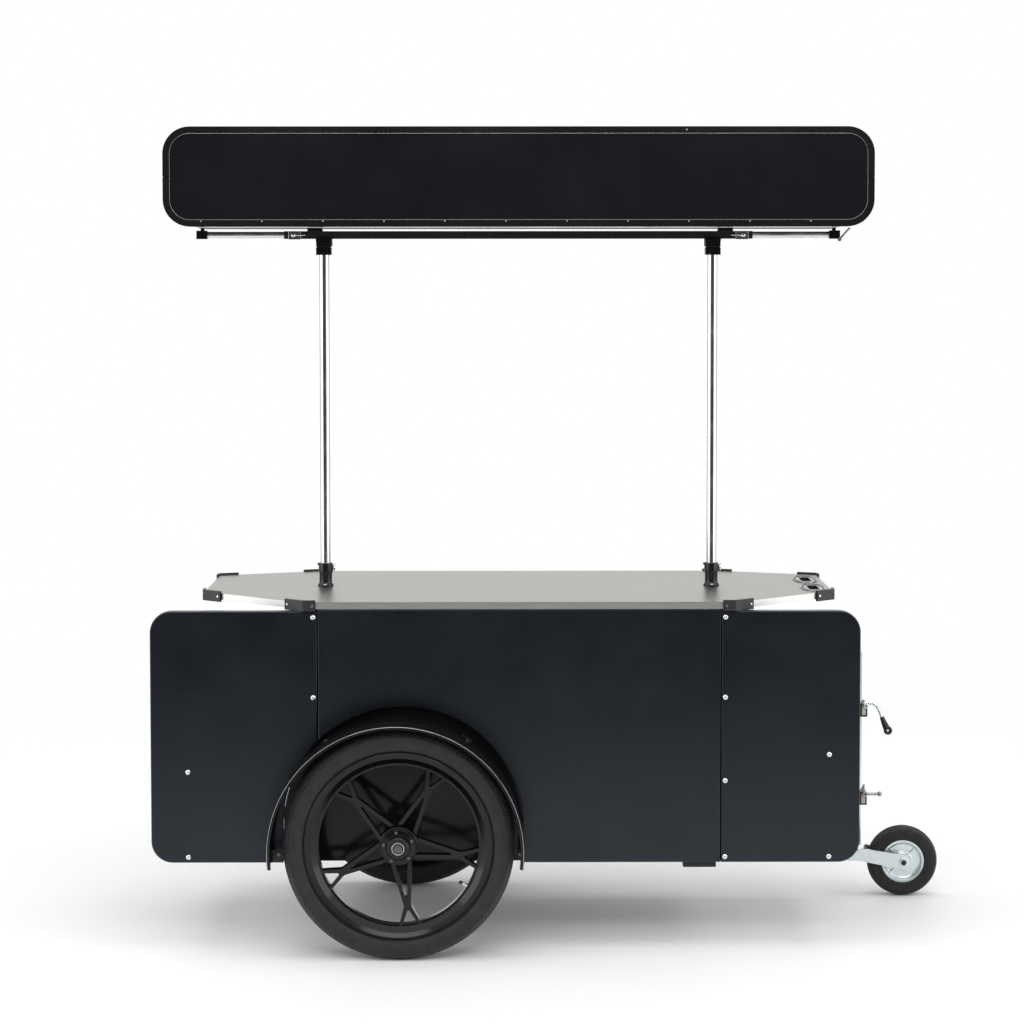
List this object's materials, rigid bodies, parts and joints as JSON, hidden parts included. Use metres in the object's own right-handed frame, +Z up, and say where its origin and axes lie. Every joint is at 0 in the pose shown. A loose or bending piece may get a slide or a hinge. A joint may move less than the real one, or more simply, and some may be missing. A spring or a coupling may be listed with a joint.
{
  "type": "push vending cart",
  "caption": "Push cart with a stainless worktop over a steel storage body, a sign box on sliding posts, spoked road wheels with fenders and a swivelling jockey wheel.",
  "frame": {"origin": "on the ground under the middle of the overall box", "axes": "+Z up, +X along the counter from the road wheels towards the jockey wheel, -Y faces the customer"},
  "size_m": [2.166, 0.926, 2.165],
  "materials": {
    "frame_black": "black powder coat",
    "panel_black": "satin black powder coat",
    "gloss_black": "gloss black paint",
    "inner_sheet": "grey painted sheet",
    "brushed_stainless": "brushed stainless steel",
    "board": "birch plywood",
    "black_plastic": "moulded black plastic",
    "black_rubber": "black rubber",
    "tyre_rubber": "black rubber, matte",
    "chrome": "polished",
    "zinc": "galvanised steel",
    "zinc_screw": "zinc plated",
    "cast_black": "black painted casting",
    "wheel_black": "gloss black cast aluminium",
    "bearing_steel": "ground steel",
    "sign_black": "satin black powder coat",
    "sign_face": "satin black acrylic",
    "trim_dark": "satin dark anodised",
    "aluminium": "mill finish"
  },
  "bodies": {
    "cart": {"chassis_frame": "frame_black", "end_frame_left": "frame_black", "end_frame_right": "frame_black", "clamp_plate": "frame_black", "axle_beam": "frame_black", "foot_block": "black_rubber", "inner_shelves": "inner_sheet", "end_panel_left": "panel_black", "end_panel_right": "panel_black", "front_panel_left": "panel_black", "front_panel_middle": "panel_black", "front_panel_right": "panel_black", "rear_panel": "panel_black", "wheel_well_panels": "gloss_black", "panel_screws": "zinc_screw", "worktop": "brushed_stainless", "worktop_core": "board", "corner_bumpers": "black_plastic", "bumper_screws": "zinc_screw", "grip_bezels": "chrome", "grip_cups": "black_plastic", "post_sockets": "cast_black", "post_guides": "zinc", "fender_near": "gloss_black", "fender_far": "gloss_black", "fender_brackets": "frame_black", "fender_bolts": "zinc_screw", "axle_nuts": "zinc", "jockey_clamps": "frame_black", "hinge_leaves": "zinc"},
    "near_wheel": {"wheel_near": "wheel_black", "tyre_near": "tyre_rubber", "bearings_near": "bearing_steel"},
    "far_wheel": {"wheel_far": "wheel_black", "tyre_far": "tyre_rubber", "bearings_far": "bearing_steel"},
    "roof": {"roof_posts": "chrome", "roof_blocks": "cast_black", "roof_rail": "frame_black", "arm_tubes": "chrome", "arm_clips": "chrome", "arm_fittings": "cast_black", "tie_lever": "zinc", "sign_box": "sign_black", "sign_faces": "sign_face", "sign_trims": "trim_dark", "sign_screws": "zinc_screw", "sign_spine": "aluminium"},
    "left_clamp_screw": {"clamp_screw_left": "chrome"},
    "right_clamp_screw": {"clamp_screw_right": "chrome"},
    "jockey_tube": {"jockey_stem": "zinc"},
    "jockey_caster": {"jockey_fork": "zinc", "jockey_axle": "zinc_screw"},
    "jockey_wheel": {"jockey_rim": "zinc", "jockey_tyre": "tyre_rubber"},
    "upper_clamp_lever": {"upper_lever": "zinc", "upper_lever_grip": "black_plastic"},
    "lower_clamp_lever": {"lower_lever": "zinc"},
    "door": {"rear_door": "panel_black", "door_handle": "chrome"}
  },
  "joints": [
    {"name": "near_wheel_spin", "type": "hinge", "parent": "cart", "child": "near_wheel", "pos_m": [-0.427, -0.401, 0.3], "axis": [0, 1, 0], "continuous": true},
    {"name": "far_wheel_spin", "type": "hinge", "parent": "cart", "child": "far_wheel", "pos_m": [-0.427, 0.401, 0.3], "axis": [0, 1, 0], "continuous": true},
    {"name": "roof_height", "type": "slide", "parent": "cart", "child": "roof", "axis": [0, 0, 1], "range_m": [-0.42, 0]},
    {"name": "left_post_clamp", "type": "hinge", "parent": "cart", "child": "left_clamp_screw", "pos_m": [-0.645, 0.049, 0.968], "axis": [1, 0, 0], "range_deg": [-180, 0]},
    {"name": "right_post_clamp", "type": "hinge", "parent": "cart", "child": "right_clamp_screw", "pos_m": [0.417, 0.049, 0.968], "axis": [1, 0, 0], "range_deg": [-180, 0]},
    {"name": "jockey_height", "type": "slide", "parent": "cart", "child": "jockey_tube", "axis": [0, 0, -1], "range_m": [-0.1, 0]},
    {"name": "jockey_swivel", "type": "hinge", "parent": "jockey_tube", "child": "jockey_caster", "pos_m": [0.842, 0.264, 0.13], "axis": [0, 0, 1], "continuous": true},
    {"name": "jockey_wheel_spin", "type": "hinge", "parent": "jockey_caster", "child": "jockey_wheel", "pos_m": [0.983, 0.264, 0.1], "axis": [0, 1, 0], "continuous": true},
    {"name": "upper_clamp_turn", "type": "hinge", "parent": "cart", "child": "upper_clamp_lever", "pos_m": [0.871, 0.222, 0.551], "axis": [0, 1, 0], "range_deg": [-80, 0]},
    {"name": "lower_clamp_turn", "type": "hinge", "parent": "cart", "child": "lower_clamp_lever", "pos_m": [0.871, 0.222, 0.299], "axis": [0, 1, 0], "range_deg": [-60, 0]},
    {"name": "door_swing", "type": "hinge", "parent": "cart", "child": "door", "pos_m": [0.452, 0.298, 0.545], "axis": [0, 0, -1], "range_deg": [0, 105]}
  ]
}
